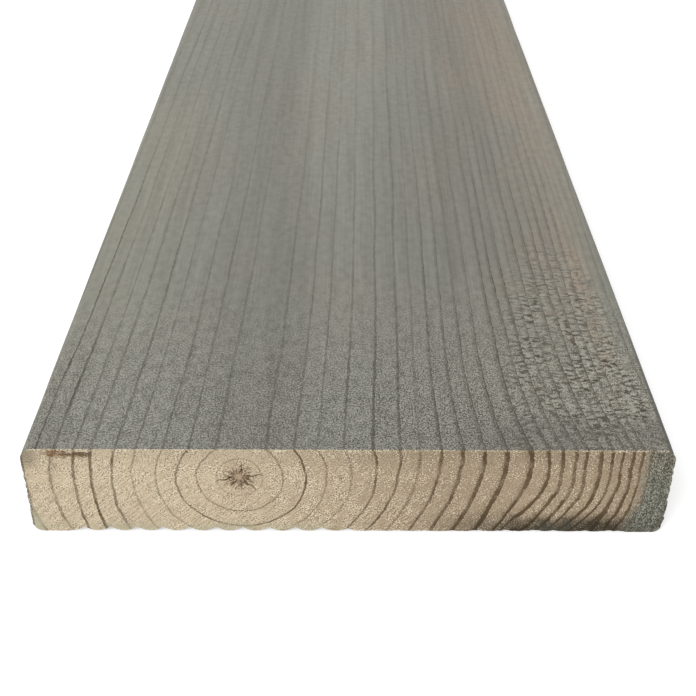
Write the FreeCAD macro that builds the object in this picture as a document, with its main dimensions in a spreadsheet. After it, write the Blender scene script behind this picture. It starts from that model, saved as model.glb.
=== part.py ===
"""A softwood decking board, planed to 145 x 24 mm and sawn to 1.8 m.

The board is one piece of solid wood. Its walking face is plain, its four long arrises are
rounded, and its underside is cut with shallow ripples between two flat lands.

The board lies as it is laid: +Y along its length, +Z up out of the walking face. The origin
is in the middle of the underside, on the plane of the lands. All sizes are in millimetres.
"""

import FreeCAD, Part
import math
import os

import Sketcher

PART_NAME = "decking_board"

# Driving sizes: alias, value, what it is.
SIZES = [
    ("board_length", 1800.0, "sawn length along Y"),
    ("board_width", 145.0, "planed width along X"),
    ("board_thickness", 24.0, "lands to walking face"),
    ("top_arris_radius", 3.0, "rounding of the two upper arrises"),
    ("bottom_arris_radius", 2.5, "rounding of the two lower arrises"),
    ("least_land_width", 8.5, "least width of each flat land, side to ripples"),
    ("ripple_pitch", 6.07, "from one groove of the underside to the next"),
    ("ripple_depth", 1.0, "from a rib's crest up to a groove's root"),
    ("ripple_recess", 0.2, "how far the ribs' crests stand above the lands"),
    ("groove_root_radius", 0.6, "rounding at the root of each groove"),
    ("knife_clearance", 2.0, "how far the groove's outline runs on below the board"),
]

# As many whole grooves as fit between the lands, spread about the middle of the board.
GROOVE_COUNT = "floor((Sizes.board_width - 2 * Sizes.least_land_width) / Sizes.ripple_pitch)"
HALF_SPREAD = f"({GROOVE_COUNT} - 1) * Sizes.ripple_pitch / 2"

# Point numbers of a sketch element, and the sketch's own origin.
START, END, CENTRE = 1, 2, 3
ORIGIN = (-1, 1)


def size_sheet(doc):
    """The table of driving sizes, one row each."""
    sheet = doc.addObject("Spreadsheet::Sheet", "Sizes")
    for row, (alias, value, meaning) in enumerate(SIZES, start=1):
        sheet.set(f"A{row}", alias)
        sheet.set(f"B{row}", str(value))
        sheet.set(f"C{row}", meaning)
        sheet.setAlias(f"B{row}", alias)
    doc.recompute()
    return sheet


def section_sketch(body, name):
    """An empty sketch in the plane of the board's cross-section: X across, Z up."""
    plane = next(f for f in body.Origin.OriginFeatures if f.Role == "XZ_Plane")
    sketch = body.newObject("Sketcher::SketchObject", name)
    sketch.AttachmentSupport = [(plane, "")]
    sketch.MapMode = "FlatFace"
    return sketch


def dimension(sketch, name, expression, drawn, kind, *places):
    """A named dimension of the sketch, drawn at one value, that follows the driving sizes."""
    index = sketch.addConstraint(Sketcher.Constraint(kind, *places, drawn))
    sketch.renameConstraint(index, name)
    sketch.setExpression(f"Constraints.{name}", expression)


def add_lines(sketch, corners):
    """Straight lines from each corner to the next, joined end to start. Returns their numbers."""
    lines = []
    for first, second in zip(corners, corners[1:]):
        segment = Part.LineSegment(FreeCAD.Vector(*first, 0), FreeCAD.Vector(*second, 0))
        lines.append(sketch.addGeometry(segment, False))
    for first, second in zip(lines, lines[1:]):
        sketch.addConstraint(Sketcher.Constraint("Coincident", first, END, second, START))
    return lines


def plank_blank(doc, body):
    """The planed plank before its arrises are rounded: a rectangle run the length of the board."""
    width, thickness = doc.Sizes.board_width, doc.Sizes.board_thickness
    sketch = section_sketch(body, "PlankSection")
    corners = [
        (-width / 2, 0),
        (width / 2, 0),
        (width / 2, thickness),
        (-width / 2, thickness),
        (-width / 2, 0),
    ]
    bottom, right, top, left = add_lines(sketch, corners)
    sketch.addConstraint(Sketcher.Constraint("Coincident", left, END, bottom, START))
    sketch.addConstraint(Sketcher.Constraint("Horizontal", bottom))
    sketch.addConstraint(Sketcher.Constraint("Horizontal", top))
    sketch.addConstraint(Sketcher.Constraint("Vertical", right))
    sketch.addConstraint(Sketcher.Constraint("Symmetric", bottom, START, bottom, END, *ORIGIN))
    sketch.addConstraint(Sketcher.Constraint("Vertical", left))
    across = ("DistanceX", bottom, START, bottom, END)
    upright = ("DistanceY", right, START, right, END)
    dimension(sketch, "width", "Sizes.board_width", width, *across)
    dimension(sketch, "thickness", "Sizes.board_thickness", thickness, *upright)
    doc.recompute()

    blank = body.newObject("PartDesign::Pad", "Plank")
    blank.Profile = sketch
    blank.SideType = "Symmetric"
    blank.setExpression("Length", "Sizes.board_length")
    doc.recompute()
    return blank


def long_edges(shape, height):
    """Names of the edges that run along the board at this height."""
    names = []
    for number, edge in enumerate(shape.Edges, start=1):
        ends = [vertex.Point for vertex in edge.Vertexes]
        runs_along = abs(ends[0].y - ends[-1].y) > 0.5 * shape.BoundBox.YLength
        if runs_along and all(math.isclose(end.z, height, abs_tol=1e-6) for end in ends):
            names.append(f"Edge{number}")
    return names


def round_arrises(doc, body, base, name, height, radius_alias):
    """Rounds the two arrises at one height."""
    fillet = body.newObject("PartDesign::Fillet", name)
    fillet.Base = (base, long_edges(base.Shape, height))
    fillet.setExpression("Radius", f"Sizes.{radius_alias}")
    doc.recompute()
    return fillet


def groove_sketch(doc, body):
    """The outline that one knife takes out, one ripple wide, from rib crest to rib crest.

    Each half rib is an arc with its lowest point at the crest. It runs up into the small arc
    of the groove's root, and both meet it without a corner.
    """
    sheet = doc.Sizes
    pitch = sheet.ripple_pitch
    root_radius = sheet.groove_root_radius
    depth = sheet.ripple_depth
    crest = sheet.ripple_recess
    grooves = (sheet.board_width - 2 * sheet.least_land_width) // pitch
    half_spread = (grooves - 1) * pitch / 2
    half_pitch = pitch / 2
    rib_radius = (half_pitch**2 + depth**2 - 2 * depth * root_radius) / (2 * depth)
    middle = -half_spread
    left, right = middle - half_pitch, middle + half_pitch
    root_height = crest + depth - root_radius
    # The angle below level at which a rib's centre looks towards the root's centre.
    drop = math.atan2(crest + rib_radius - root_height, half_pitch)

    def arc(x, z, radius, begin, finish):
        circle = Part.Circle(FreeCAD.Vector(x, z, 0), FreeCAD.Vector(0, 0, 1), radius)
        return sketch.addGeometry(Part.ArcOfCircle(circle, begin, finish), False)

    sketch = section_sketch(body, "GrooveSection")
    left_rib = arc(left, crest + rib_radius, rib_radius, -math.pi / 2, -drop)
    root = arc(middle, root_height, root_radius, drop, math.pi - drop)
    right_rib = arc(right, crest + rib_radius, rib_radius, math.pi + drop, 1.5 * math.pi)
    floor = -sheet.knife_clearance
    corners = [(right, crest), (right, floor), (left, floor), (left, crest)]
    right_side, underside, left_side = add_lines(sketch, corners)

    for constraint in (
        ("Tangent", left_rib, END, root, END),
        ("Tangent", right_rib, START, root, START),
        ("Coincident", right_rib, END, right_side, START),
        ("Coincident", left_side, END, left_rib, START),
        ("Vertical", right_side),
        ("Vertical", left_side),
        ("Horizontal", underside),
        ("Vertical", left_rib, START, left_rib, CENTRE),
        ("Vertical", right_rib, END, right_rib, CENTRE),
        ("Horizontal", left_rib, START, right_rib, END),
        ("Equal", left_rib, right_rib),
    ):
        sketch.addConstraint(Sketcher.Constraint(*constraint))

    rise = "Sizes.ripple_depth - Sizes.groove_root_radius"
    for name, expression, drawn, *kind_and_places in (
        ("pitch", "Sizes.ripple_pitch", pitch, "DistanceX", left_rib, START, right_rib, END),
        ("root_radius", "Sizes.groove_root_radius", root_radius, "Radius", root),
        ("recess", "Sizes.ripple_recess", crest, "DistanceY", *ORIGIN, left_rib, START),
        ("rise", rise, depth - root_radius, "DistanceY", left_rib, START, root, CENTRE),
        ("first_groove", HALF_SPREAD, half_spread, "DistanceX", root, CENTRE, *ORIGIN),
        ("clearance", "Sizes.knife_clearance", -floor, "DistanceY", underside, END, *ORIGIN),
    ):
        dimension(sketch, name, expression, drawn, *kind_and_places)
    doc.recompute()
    return sketch


def cut_ripples(doc, body):
    """The outermost groove along the whole underside, then its copies across the board."""
    groove = body.newObject("PartDesign::Pocket", "Groove")
    groove.Profile = groove_sketch(doc, body)
    groove.SideType = "Symmetric"
    groove.Type = "ThroughAll"
    doc.recompute()

    across = next(f for f in body.Origin.OriginFeatures if f.Role == "X_Axis")
    ripples = body.newObject("PartDesign::LinearPattern", "Ripples")
    ripples.Originals = [groove]
    ripples.Direction = (across, [""])
    ripples.Mode = "Spacing"
    ripples.setExpression("Offset", "Sizes.ripple_pitch")
    ripples.setExpression("Occurrences", GROOVE_COUNT)
    body.Tip = ripples
    doc.recompute()
    return groove, ripples


def check(doc, body, stages):
    """Stops if a feature failed or took nothing away, or the board isn't one valid solid."""
    for item in doc.Objects:
        if "Invalid" in item.State or "Error" in item.State:
            raise RuntimeError(f"{item.Label} was not built: {item.State}")
    for before, after in zip(stages, stages[1:]):
        if after.Shape.Volume >= before.Shape.Volume:
            raise RuntimeError(f"{after.Label} took nothing away")
    shape = body.Shape
    if shape.isNull() or not shape.isValid() or len(shape.Solids) != 1:
        raise RuntimeError(f"{body.Label} is not one valid solid")


def main():
    doc = FreeCAD.newDocument(PART_NAME)
    sheet = size_sheet(doc)
    body = doc.addObject("PartDesign::Body", "Board")
    body.Label = PART_NAME

    blank = plank_blank(doc, body)
    top = round_arrises(
        doc, body, blank, "TopArrises", sheet.board_thickness, "top_arris_radius"
    )
    bottom = round_arrises(doc, body, top, "BottomArrises", 0.0, "bottom_arris_radius")
    groove, ripples = cut_ripples(doc, body)
    check(doc, body, [blank, top, bottom, groove, ripples])

    os.makedirs("parts", exist_ok=True)
    body.Shape.exportStep(os.path.join("parts", f"{body.Label}.step"))
    box = body.Shape.BoundBox
    print(
        f"{body.Label}: {box.XLength:.2f} x {box.YLength:.2f} x {box.ZLength:.2f} mm,"
        f" {ripples.Occurrences} grooves, {body.Shape.Volume / 1e6:.4f} litres"
    )


main()
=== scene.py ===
"""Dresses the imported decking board: grey stain on its planed faces, growth rings on its sawn ends.

One closed mesh stands for the board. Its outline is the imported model's, and the surface adds
what fine relief a saw, a planer and the weather leave. Sizes are in millimetres until the mesh
is made. The materials work in millimetres too: X across the board from its middle, Y along it
from the near end, Z up from the underside.
"""

import math

import bpy
import numpy as np
from mathutils import Matrix, Vector


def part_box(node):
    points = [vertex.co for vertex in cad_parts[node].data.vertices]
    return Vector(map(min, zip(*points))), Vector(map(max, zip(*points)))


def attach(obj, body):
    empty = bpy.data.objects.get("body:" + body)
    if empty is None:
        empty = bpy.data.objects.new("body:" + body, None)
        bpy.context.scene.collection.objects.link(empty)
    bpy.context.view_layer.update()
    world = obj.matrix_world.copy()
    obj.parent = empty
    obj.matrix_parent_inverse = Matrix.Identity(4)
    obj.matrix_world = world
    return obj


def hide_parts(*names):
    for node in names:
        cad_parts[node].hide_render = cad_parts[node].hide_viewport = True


MM = 0.001

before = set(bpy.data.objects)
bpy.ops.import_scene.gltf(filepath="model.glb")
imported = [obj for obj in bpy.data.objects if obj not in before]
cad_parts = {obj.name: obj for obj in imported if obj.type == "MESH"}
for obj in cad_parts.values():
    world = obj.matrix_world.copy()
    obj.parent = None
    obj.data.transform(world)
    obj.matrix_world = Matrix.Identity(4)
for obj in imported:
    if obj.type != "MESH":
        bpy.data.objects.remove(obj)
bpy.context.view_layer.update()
board_low, board_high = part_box("decking_board")

# The board's outline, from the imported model.
LENGTH = (board_high[1] - board_low[1]) / MM
WIDTH = (board_high[0] - board_low[0]) / MM
THICKNESS = (board_high[2] - board_low[2]) / MM
HALF_WIDTH = WIDTH / 2
NEAR_END = board_low[1] / MM

# The section's finer sizes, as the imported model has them.
TOP_ARRIS = 3.0
BOTTOM_ARRIS = 2.5
PITCH = 6.07
GROOVES = 21
RIPPLE_DEPTH = 1.0
RIPPLE_RECESS = 0.2
ROOT_RADIUS = 0.6
RIPPLE_REACH = GROOVES * PITCH / 2
RIB_RADIUS = ((PITCH / 2) ** 2 + RIPPLE_DEPTH**2 - 2 * RIPPLE_DEPTH * ROOT_RADIUS) / (
    2 * RIPPLE_DEPTH
)
ROOT_REACH = PITCH / 2 * ROOT_RADIUS / (RIB_RADIUS + ROOT_RADIUS)

# The pith at the near end, and how far the drying cracks at the far end are turned about it.
PITH_X = -24.3
PITH_Z = 16.0
FAR_TURN = 130.0

# How the pith wanders along the board: distance from the near end, drift across, rise.
PITH_PATH = (
    (0, 0.0, 0.0),
    (30, 0.8, 0.0),
    (60, 1.7, 0.0),
    (100, 2.3, 0.0),
    (150, 2.9, 0.0),
    (220, 3.6, 0.1),
    (290, 4.6, -0.1),
    (400, 5.5, -0.3),
    (700, 4.4, -2.4),
    (1000, 1.0, -1.2),
    (1300, -2.2, 1.4),
    (1600, -2.6, 0.4),
    (1800, -2.4, -1.6),
)
FAR_PITH_X = PITH_X + PITH_PATH[-1][1]
FAR_PITH_Z = PITH_Z + PITH_PATH[-1][2]
DRIFT_LIMIT = 8.0

# How far the right-hand rings flare outwards at the near end, by distance from the pith, and
# how far along the board the flare settles.
FLARE = (
    (-60, 0.0),
    (26, 0.0),
    (34, 0.6),
    (43, 2.0),
    (50, 4.2),
    (58, 6.6),
    (66, 8.2),
    (72, 7.9),
    (80, 6.8),
    (90, 6.1),
    (104, 6.0),
)
FLARE_LENGTH = 30.0

# How the rings bend on each side: reach from the pith, height of their middle, and how
# sharply they turn, where 1 is a circle about the pith and less is flatter.
LEFT_BEND = (
    (0, 16.0, 1.0),
    (10, 15.8, 1.0),
    (18, 15.5, 1.08),
    (25, 15.3, 0.92),
    (29, 14.3, 0.82),
    (33.5, 15.0, 0.58),
    (38, 14.0, 0.75),
    (43, 14.0, 1.6),
    (48, 11.0, 1.9),
    (52, 11.0, 1.9),
)
RIGHT_BEND = (
    (0, 16.0, 1.0),
    (15, 16.2, 1.0),
    (25, 16.2, 1.45),
    (31, 17.5, 1.4),
    (36, 21.0, 1.15),
    (60, 21.3, 1.6),
    (65.3, 19.4, 3.3),
    (69.5, 17.5, 4.6),
    (73, 17.0, 4.0),
    (76, 16.5, 4.1),
    (79, 16.0, 4.7),
    (83.5, 16.0, 5.0),
    (86, 16.0, 3.6),
    (90, 16.5, 2.7),
    (94, 16.5, 2.2),
)
MIDDLE_LIMIT = 30.0
BEND_LIMIT = 6.0

# Past this reach the rings stay upright above their middle.
UPRIGHT_REACH = 60.0

# Growth rings each side of the pith: reach from it, darkness, width of the late wood.
LEFT_RINGS = (
    (5.4, 0.34, 0.4),
    (9.7, 0.55, 0.4),
    (14.2, 0.70, 0.45),
    (19.0, 0.48, 0.45),
    (24.2, 0.44, 0.45),
    (28.8, 0.74, 0.8),
    (33.5, 0.80, 1.0),
    (37.4, 0.66, 0.9),
    (42.9, 0.55, 1.1),
    (48.0, 0.72, 0.8),
)
RIGHT_RINGS = (
    (5.4, 0.30, 0.4),
    (10.0, 0.55, 0.4),
    (15.1, 0.95, 0.5),
    (19.8, 0.50, 0.45),
    (25.3, 0.38, 0.5),
    (31.1, 0.75, 0.8),
    (36.3, 0.85, 0.9),
    (40.4, 0.48, 0.9),
    (45.0, 0.82, 1.2),
    (49.9, 0.85, 1.6),
    (54.8, 1.00, 1.8),
    (59.8, 1.00, 2.1),
    (65.5, 1.00, 2.3),
    (69.4, 0.95, 1.6),
    (72.5, 1.00, 1.5),
    (75.3, 0.70, 1.3),
    (77.6, 0.80, 1.4),
    (80.8, 0.94, 1.6),
    (83.2, 0.80, 1.1),
    (85.4, 0.96, 1.2),
    (87.8, 0.96, 1.2),
    (89.8, 0.75, 0.9),
    (91.8, 0.40, 0.7),
    (93.4, 0.35, 0.6),
    (95.4, 0.45, 0.7),
    (97.6, 0.55, 0.9),
    (99.9, 0.45, 0.7),
    (102.2, 0.50, 0.8),
)
RING_LIMIT = 28
REACH_LIMIT = 104.0

# The star-shaped check at the pith: direction in degrees, length and width of each ray.
CHECK_RAYS = (
    (7, 5.5, 0.36),
    (16, 3.0, 0.15),
    (31, 3.2, 0.19),
    (52, 2.4, 0.14),
    (63, 2.9, 0.17),
    (78, 3.7, 0.22),
    (86, 2.3, 0.13),
    (103, 2.6, 0.16),
    (118, 3.0, 0.19),
    (127, 2.2, 0.13),
    (143, 3.3, 0.18),
    (161, 2.6, 0.15),
    (175, 3.4, 0.18),
    (192, 5.5, 0.42),
    (201, 3.1, 0.16),
    (219, 2.9, 0.16),
    (234, 3.6, 0.34),
    (243, 2.4, 0.13),
    (262, 2.8, 0.16),
    (277, 3.4, 0.21),
    (289, 2.3, 0.13),
    (301, 2.9, 0.17),
    (316, 5.2, 0.31),
    (324, 2.8, 0.15),
    (339, 3.7, 0.21),
    (352, 2.9, 0.15),
)
CHECK_START = 1.15
CHECK_DEPTH = 0.45


# Shape of the section


def round_edge(inset, radius):
    """How far a rounded edge falls back, this far in from the face beside it."""
    left = np.clip(radius - inset, 0, radius)
    return radius - np.sqrt(radius**2 - left**2)


def underside(x):
    """Height of the underside: rounded edges, two flat lands and the ripples between them."""
    land = round_edge(HALF_WIDTH - np.abs(x), BOTTOM_ARRIS)
    off_groove = np.abs((x + PITCH / 2) % PITCH - PITCH / 2)
    root_centre = RIPPLE_RECESS + RIPPLE_DEPTH - ROOT_RADIUS
    root = root_centre + np.sqrt(np.clip(ROOT_RADIUS**2 - off_groove**2, 0, None))
    off_rib = PITCH / 2 - off_groove
    rib = RIPPLE_RECESS + RIB_RADIUS - np.sqrt(RIB_RADIUS**2 - off_rib**2)
    ripple = np.where(off_groove < ROOT_REACH, root, rib)
    return np.where(np.abs(x) <= RIPPLE_REACH, ripple, land)


def topside(x):
    """Height of the walking face with its rounded edges."""
    return THICKNESS - round_edge(HALF_WIDTH - np.abs(x), TOP_ARRIS)


def smoothstep(value, low, high):
    t = np.clip((value - low) / (high - low), 0, 1)
    return t * t * (3 - 2 * t)


def unevenness(a, b, seed):
    """Smooth noise from 0 to 1 whose lumps are one unit wide."""
    column, row = np.floor(a), np.floor(b)
    across, along = a - column, b - row
    across = across * across * (3 - 2 * across)
    along = along * along * (3 - 2 * along)

    def knot(i, j):
        return np.modf(np.abs(np.sin(i * 127.1 + j * 311.7 + seed * 74.7)) * 43758.5453)[0]

    low = knot(column, row) * (1 - across) + knot(column + 1, row) * across
    high = knot(column, row + 1) * (1 - across) + knot(column + 1, row + 1) * across
    return low * (1 - along) + high * along


def splinters(x, from_end):
    """How much of the grooves the saw's burr fills: all but shut on the right of a sawn edge."""
    side = smoothstep(x, -9, 14) * (1 - smoothstep(x, RIPPLE_REACH - 1, RIPPLE_REACH + 0.5))
    length = 0.5 + 1.3 * unevenness(x / 0.8, 0 * x, 3)
    uneven = 0.72 + 0.4 * unevenness(x / 1.7, 0 * x + 5, 4)
    return np.clip(side * uneven, 0, 1) * (1 - smoothstep(from_end, 0.3 * length, length))


def lower_edge(x, from_end):
    """Height of the underside near a sawn end, burr included."""
    clean = underside(x)
    fringe = 0.12 + 0.55 * unevenness(x / 0.55, 0 * x, 8) * unevenness(x / 2.1, 0 * x, 9)
    burr = splinters(x, from_end)
    return clean * (1 - burr) + np.minimum(fringe, clean) * burr


def ragged_side(x, z, from_end, seed):
    """How far the splintered corners between a sawn end and the board's sides lie inside it."""
    side = np.sign(x) + 0 * z
    teeth = unevenness(z / 0.62, 5 * side, seed) ** 1.5
    clumps = unevenness(z / 3.3, 9 * side, seed + 1)
    most = np.where(x > 0, 0.55, 0.34)
    at_side = np.clip(1 - (HALF_WIDTH - np.abs(x)) / 1.5, 0, 1)
    return most * teeth * (0.35 + 0.65 * clumps) * at_side * (1 - smoothstep(from_end, 0.6, 2.6))


# The board's mesh


class Patchwork:
    """Gathers the points and faces of one closed mesh."""

    def __init__(self):
        self.points = []
        self.count = 0
        self.faces = []
        self.marks = []

    def add_points(self, x, y, z):
        """Adds points and returns their numbers in the shape of the arrays."""
        x, y, z = np.broadcast_arrays(x, y, z)
        numbers = self.count + np.arange(x.size).reshape(x.shape)
        self.points.append(np.stack([x.ravel(), y.ravel(), z.ravel()], -1))
        self.count += x.size
        return numbers

    def add_faces(self, corners, uvs, material):
        """Adds faces: each row holds a face's corners, and uvs holds their places on the map."""
        for face, places in zip(corners.tolist(), uvs.tolist()):
            self.faces.append(face)
            self.marks.append((places, material))


# The mesh's map: strips of a square for the planed faces and for each sawn end.
MAP_MARGIN = 0.01
PLANED_STRIP = (0.01, 0.64)
NEAR_END_STRIP = (0.66, 0.82)
FAR_END_STRIP = (0.83, 0.99)
PLANED, SAWN = 0, 1


def long_uv(along, around, girth):
    """Place on the map of a point of the planed faces, with more room given to both ends."""
    middle = 2 * along / LENGTH - 1
    spread = 0.5 + 0.25 * (middle + middle**9)
    u = MAP_MARGIN + (1 - 2 * MAP_MARGIN) * spread
    v = PLANED_STRIP[0] + (PLANED_STRIP[1] - PLANED_STRIP[0]) * around / girth
    return np.stack(np.broadcast_arrays(u, v), -1)


def end_uv(x, z, strip):
    """Place on the map of a point of a sawn end."""
    u = MAP_MARGIN + (1 - 2 * MAP_MARGIN) * (x + HALF_WIDTH) / WIDTH
    v = strip[0] + (strip[1] - strip[0]) * z / THICKNESS
    return np.stack([u, v], -1)


def arris_columns(radius, steps):
    """Places across a rounded edge, spaced evenly round its arc."""
    return radius * (1 - np.cos(np.linspace(0, math.pi / 2, steps)))


def across(spacing, arris_steps):
    """Places across the board, closer at its rounded edges."""
    edge = arris_columns(TOP_ARRIS, arris_steps)
    middle = np.arange(-HALF_WIDTH + TOP_ARRIS + spacing, HALF_WIDTH - TOP_ARRIS, spacing)
    return np.concatenate([-HALF_WIDTH + edge, middle, HALF_WIDTH - edge[::-1]])


def ripple_columns():
    """Places across the underside: both edges, both lands and ten for each groove."""
    edge = arris_columns(BOTTOM_ARRIS, 7)
    land = np.linspace(HALF_WIDTH - BOTTOM_ARRIS, RIPPLE_REACH + 0.01, 6)[1:]
    crest = PITCH / 2
    half_groove = np.array([-0.9, -0.72, -0.5, -0.28, -0.118, 0, 0.118, 0.28, 0.5, 0.72]) * crest
    middles = (np.arange(GROOVES) - (GROOVES - 1) / 2) * PITCH
    grooves = np.concatenate([[middle - crest, *(middle + half_groove[1:])] for middle in middles])
    left = np.concatenate([-HALF_WIDTH + edge, -land])
    return np.concatenate([left, grooves, [RIPPLE_REACH], -left[::-1]])


def section_loop(bottom_x, top_x, side_steps, from_end):
    """The section's outline, once round from the lower left, and each point's place round it."""
    bottom_z = lower_edge(bottom_x, from_end)
    side_z = np.linspace(BOTTOM_ARRIS, THICKNESS - TOP_ARRIS, side_steps)
    turned_x = top_x[::-1]
    x = np.concatenate([bottom_x, 0 * side_z[1:-1] + HALF_WIDTH, turned_x, 0 * side_z[1:-1] - HALF_WIDTH])
    z = np.concatenate([bottom_z, side_z[1:-1], topside(turned_x), side_z[-2:0:-1]])
    around = np.concatenate(
        [
            bottom_x + HALF_WIDTH,
            WIDTH + side_z[1:-1],
            WIDTH + THICKNESS + HALF_WIDTH - turned_x,
            2 * WIDTH + 2 * THICKNESS - side_z[-2:0:-1],
        ]
    )
    return x, z, around


GIRTH = 2 * (WIDTH + THICKNESS)


def check_mask(x, z, far):
    """The star of drying cracks at the pith, 1 in a crack and 0 beside it."""
    dx = x - (FAR_PITH_X if far else PITH_X)
    dz = z - (FAR_PITH_Z if far else PITH_Z)
    crack = np.zeros_like(dx)
    for degrees, length, width in CHECK_RAYS:
        angle = math.radians(degrees + (FAR_TURN if far else 0.0))
        c, s = math.cos(angle), math.sin(angle)
        out = dx * c + dz * s
        off = np.abs(dz * c - dx * s + 0.16 * np.sin(out * 2.3 + degrees))
        inside = (out > 0) & (out < length)
        narrowing = np.clip(1 - out / length, 0.02, 1) ** 0.5
        crack = np.maximum(crack, inside * np.clip(1.5 * (1 - off / (width * narrowing)), 0, 1))
    return crack * smoothstep(np.hypot(dx, dz), 0.5 * CHECK_START, CHECK_START)


def sawn_relief(x, z, far):
    """How deep the surface of a sawn end lies: saw marks, torn fibres and the pith's cracks."""
    slant = math.radians(38)
    over = z * math.cos(slant) - x * math.sin(slant)
    along = x * math.cos(slant) + z * math.sin(slant)
    marks = unevenness(over / 0.9, along / 14, 21)
    fibres = unevenness(x / 0.45, z / 0.45, 22)
    return 0.05 * marks + 0.04 * fibres + CHECK_DEPTH * check_mask(x, z, far)


def end_grid(spacing, fine, far):
    """Columns across and levels up a sawn end, closer round the pith."""
    x = across(spacing, 9)
    near_pith = (FAR_PITH_X if far else PITH_X) + np.arange(-5.6, 5.7, fine)
    x = np.concatenate([x[x < near_pith[0] - fine], near_pith, x[x > near_pith[-1] + fine]])
    levels = np.linspace(0, 1, round(THICKNESS / spacing) + 1)
    pith_levels = ((FAR_PITH_Z if far else PITH_Z) + np.arange(-4.5, 4.6, fine)) / THICKNESS
    below = levels[levels < pith_levels[0] - fine / THICKNESS]
    above = levels[levels > pith_levels[-1] + fine / THICKNESS]
    return x, np.concatenate([below, pith_levels, above])


def add_end(work, y, spacing, fine, strip):
    """One sawn end: a grid over the section. Returns its rim, once round from the lower left."""
    far = y > LENGTH / 2
    facing = -1 if far else 1
    x, levels = end_grid(spacing, fine, far)
    bottom, top = lower_edge(x, 0 * x), topside(x)
    grid_x = np.repeat(x[:, None], len(levels), axis=1)
    grid_z = bottom[:, None] + (top - bottom)[:, None] * levels[None, :]
    grid_x = grid_x - np.sign(grid_x) * ragged_side(grid_x, grid_z, 0.0, 51)
    depth = sawn_relief(grid_x, grid_z, far)
    depth[0, :] = depth[-1, :] = depth[:, 0] = depth[:, -1] = 0.02
    numbers = work.add_points(grid_x, y + facing * depth, grid_z)
    places = end_uv(grid_x, grid_z, strip)

    def corners(values):
        quads = [values[:-1, :-1], values[1:, :-1], values[1:, 1:], values[:-1, 1:]]
        quads = quads if facing > 0 else quads[::-1]
        return np.stack(quads, 2).reshape(-1, 4, *values.shape[2:])

    work.add_faces(corners(numbers), corners(places), SAWN)
    rim = np.concatenate([numbers[:, 0], numbers[-1, 1:-1], numbers[::-1, -1], numbers[0, -2:0:-1]])
    rim_z = grid_z[-1, 1:-1]
    around = np.concatenate(
        [
            x + HALF_WIDTH,
            WIDTH + rim_z,
            WIDTH + THICKNESS + HALF_WIDTH - x[::-1],
            2 * WIDTH + 2 * THICKNESS - rim_z[::-1],
        ]
    )
    return rim, around


def stitch(work, rim, rim_around, loop, loop_around, rim_y, loop_y):
    """Triangles between a sawn end's rim and the nearest loop of the planed faces."""
    rim, loop = [*rim, rim[0]], [*loop, loop[0]]
    rim_around, loop_around = [*rim_around, GIRTH], [*loop_around, GIRTH]
    triangles, uvs = [], []
    i = j = 0
    while i < len(rim) - 1 or j < len(loop) - 1:
        along_rim = j == len(loop) - 1 or (
            i < len(rim) - 1 and rim_around[i + 1] <= loop_around[j + 1]
        )
        here = [(rim[i], rim_y, rim_around[i]), (loop[j], loop_y, loop_around[j])]
        if along_rim:
            i += 1
            here.append((rim[i], rim_y, rim_around[i]))
        else:
            j += 1
            here.append((loop[j], loop_y, loop_around[j]))
        if rim_y > loop_y:
            here.reverse()
        triangles.append([number for number, _, _ in here])
        uvs.append([long_uv(y, around, GIRTH).tolist() for _, y, around in here])
    work.add_faces(np.array(triangles), np.array(uvs), PLANED)


def stations():
    """Places along the board, close together at both ends."""
    steps = [0.45]
    while sum(steps) < LENGTH / 2:
        steps.append(min(steps[-1] * 1.22, 21.0))
    from_end = np.cumsum(steps) * (LENGTH / 2) / sum(steps)
    return np.concatenate([from_end, LENGTH - from_end[-2::-1]])


def planed_relief(x, y, z):
    """Sideways wear of the planed faces: how far each point lies inside the clean outline."""
    chips = unevenness(y / 9, x / 40, 31) * unevenness(y / 2.3, x / 30, 32)
    at_edge = smoothstep(np.abs(x), HALF_WIDTH - TOP_ARRIS, HALF_WIDTH - 0.4 * TOP_ARRIS)
    return 0.16 * chips * at_edge


def build_mesh():
    work = Patchwork()
    bottom_x = ripple_columns()
    top_x = across(2.4, 8)
    near_rim, near_around = add_end(work, 0.0, 0.42, 0.14, NEAR_END_STRIP)
    far_rim, far_around = add_end(work, LENGTH, 0.84, 0.25, FAR_END_STRIP)

    loops = []
    places = stations()
    for y in places:
        x, z, around = section_loop(bottom_x, top_x, 40, min(y, LENGTH - y))
        worn = planed_relief(x, y + 0 * x, z)
        x = x - np.sign(x) * (worn + ragged_side(x, z, min(y, LENGTH - y), 51))
        z = z + np.where(z > THICKNESS / 2, -worn, worn)
        loops.append(work.add_points(x, y, z))
    loops = np.array(loops)
    closed = np.concatenate([loops, loops[:, :1]], axis=1)
    around = np.append(around, GIRTH)
    uv = long_uv(places[:, None], around[None, :], GIRTH)

    def corners(values):
        quads = [values[:-1, :-1], values[1:, :-1], values[1:, 1:], values[:-1, 1:]]
        return np.stack(quads, 2).reshape(-1, 4, *values.shape[2:])

    work.add_faces(corners(closed), corners(uv), PLANED)
    stitch(work, near_rim, near_around, loops[0], around[:-1], 0.0, places[0])
    stitch(work, far_rim, far_around, loops[-1], around[:-1], LENGTH, places[-1])
    return work, near_rim, far_rim


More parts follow.
